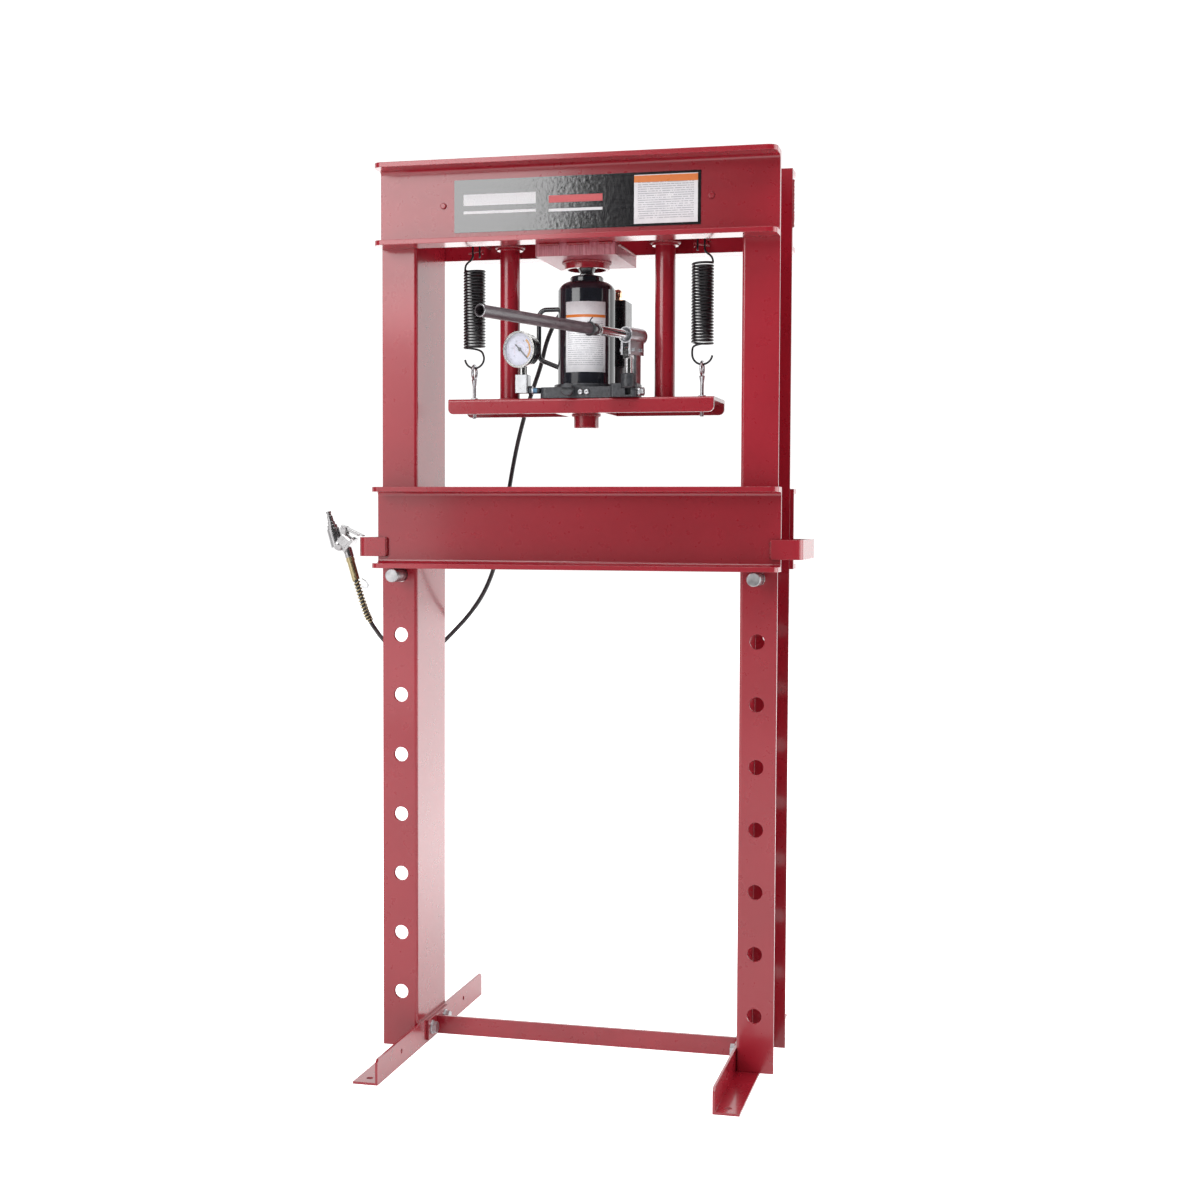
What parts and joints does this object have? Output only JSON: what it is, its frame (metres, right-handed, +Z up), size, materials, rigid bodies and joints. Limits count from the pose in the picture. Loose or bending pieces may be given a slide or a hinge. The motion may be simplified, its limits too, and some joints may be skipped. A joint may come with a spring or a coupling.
{
  "type": "hydraulic shop press",
  "caption": "Free-standing H-frame shop press: an air-over-hydraulic bottle jack pushes a spring-returned plate down towards a height-adjustable pinned bed.",
  "frame": {"origin": "on the floor, at the middle of the rectangle of the feet's four anchor holes", "axes": "+Z up, +X to the right seen from the front, -Y to the front, where the pump handle points"},
  "size_m": [0.8177, 0.7084, 1.508],
  "materials": {
    "red_paint": "gloss red enamel over rolled steel",
    "red_board": "blank black board with a pale panel",
    "zinc": "bright zinc plate",
    "spring_steel": "black oiled spring steel",
    "pin_steel": "turned steel pin",
    "jack_black": "black enamel",
    "jack_cast": "black painted casting",
    "ram_steel": "ground and plated",
    "chrome": "polished",
    "grip_paint": "dark lacquer",
    "aluminium": "cast and polished",
    "brass": "brass",
    "rubber": "matt black hose",
    "gauge_face": "white dial",
    "gauge_glass": "clear window",
    "needle_black": "black"
  },
  "bodies": {
    "frame": {"upright_left": "red_paint", "upright_right": "red_paint", "top_beam_front": "red_paint", "top_beam_rear": "red_paint", "head_block": "red_paint", "locating_ring": "red_paint", "guide_bridge_left": "red_paint", "guide_bridge_right": "red_paint", "spring_hangers": "red_paint", "foot_left": "red_paint", "foot_right": "red_paint", "tie_bar": "red_paint", "foot_fasteners": "zinc", "beam_plugs": "red_paint", "name_board": "red_board", "jack_ram": "ram_steel", "extension_screw": "jack_black"},
    "press_head": {"press_plate": "red_paint", "plate_pad": "red_paint", "press_nose": "red_paint", "guide_tube_left": "red_paint", "guide_tube_right": "red_paint", "spring_eye_bolts": "zinc", "jack_base": "jack_cast", "jack_reservoir": "jack_black", "jack_cylinder": "ram_steel", "jack_gland_nut": "jack_black", "pump_barrel": "jack_cast", "pump_link": "jack_cast", "pump_plug": "zinc", "carry_handle": "jack_black", "air_motor": "jack_black", "air_elbow": "brass", "gauge_case": "chrome", "gauge_dial": "gauge_face", "gauge_window": "gauge_glass", "gauge_block": "zinc", "gauge_pipe": "jack_black", "return_spring_left": "spring_steel", "return_spring_right": "spring_steel", "hose_upper": "rubber"},
    "pump_plunger": {"pump_plunger": "ram_steel"},
    "pump_lever": {"pump_lever": "zinc"},
    "handle": {"handle_rod": "chrome", "handle_grip": "grip_paint"},
    "release_valve": {"release_valve": "jack_cast"},
    "gauge_needle": {"gauge_needle": "needle_black"},
    "bed": {"bed_channel_front": "red_paint", "bed_channel_rear": "red_paint", "bed_strap_left": "red_paint", "bed_strap_right": "red_paint", "hose_lower": "rubber", "hose_ferrule": "brass", "air_valve": "aluminium"},
    "bed_pin_left": {"bed_pin_left": "pin_steel"},
    "bed_pin_right": {"bed_pin_right": "pin_steel"},
    "valve_lever": {"valve_lever": "aluminium"}
  },
  "joints": [
    {"name": "head_travel", "type": "slide", "parent": "frame", "child": "press_head", "axis": [0, 0, -1], "range_m": [0, 0.135], "stiffness_N_per_m": 1600, "springref_m": -0.15, "deforming": ["return_spring_left", "return_spring_right", "hose_upper"]},
    {"name": "bed_height", "type": "slide", "parent": "frame", "child": "bed", "axis": [0, 0, 1], "range_m": [-0.6096, 0], "deforming": ["hose_lower"]},
    {"name": "pin_pull_left", "type": "slide", "parent": "bed", "child": "bed_pin_left", "axis": [0, -1, 0], "range_m": [0, 0.2]},
    {"name": "pin_pull_right", "type": "slide", "parent": "bed", "child": "bed_pin_right", "axis": [0, -1, 0], "range_m": [0, 0.2]},
    {"name": "pump_swing", "type": "hinge", "parent": "press_head", "child": "pump_lever", "pos_m": [0.09368, -0.04038, 1.179], "axis": [-0.9371, 0.349, 0], "range_deg": [-25, 30]},
    {"name": "plunger_stroke", "type": "slide", "parent": "press_head", "child": "pump_plunger", "axis": [0, 0, 1], "range_m": [-0.0098, 0.0117]},
    {"name": "handle_pull", "type": "slide", "parent": "pump_lever", "child": "handle", "axis": [-0.349, -0.9371, 0], "range_m": [0, 0.04]},
    {"name": "release_turn", "type": "hinge", "parent": "press_head", "child": "release_valve", "pos_m": [-0.016, -0.06, 1.116], "axis": [0, -1, 0], "range_deg": [0, 180]},
    {"name": "needle_turn", "type": "hinge", "parent": "press_head", "child": "gauge_needle", "pos_m": [-0.1017, -0.06, 1.184], "axis": [0.276, 0.9611, 0], "range_deg": [0, 270], "stiffness_Nm_per_rad": 0.01},
    {"name": "valve_squeeze", "type": "hinge", "parent": "bed", "child": "valve_lever", "pos_m": [-0.407, -0.066, 0.885], "axis": [0, -1, 0], "range_deg": [0, 12]}
  ],
  "couplings": [
    {"joint": "plunger_stroke", "follows": "pump_swing", "m_per_rad": 0.022}
  ]
}
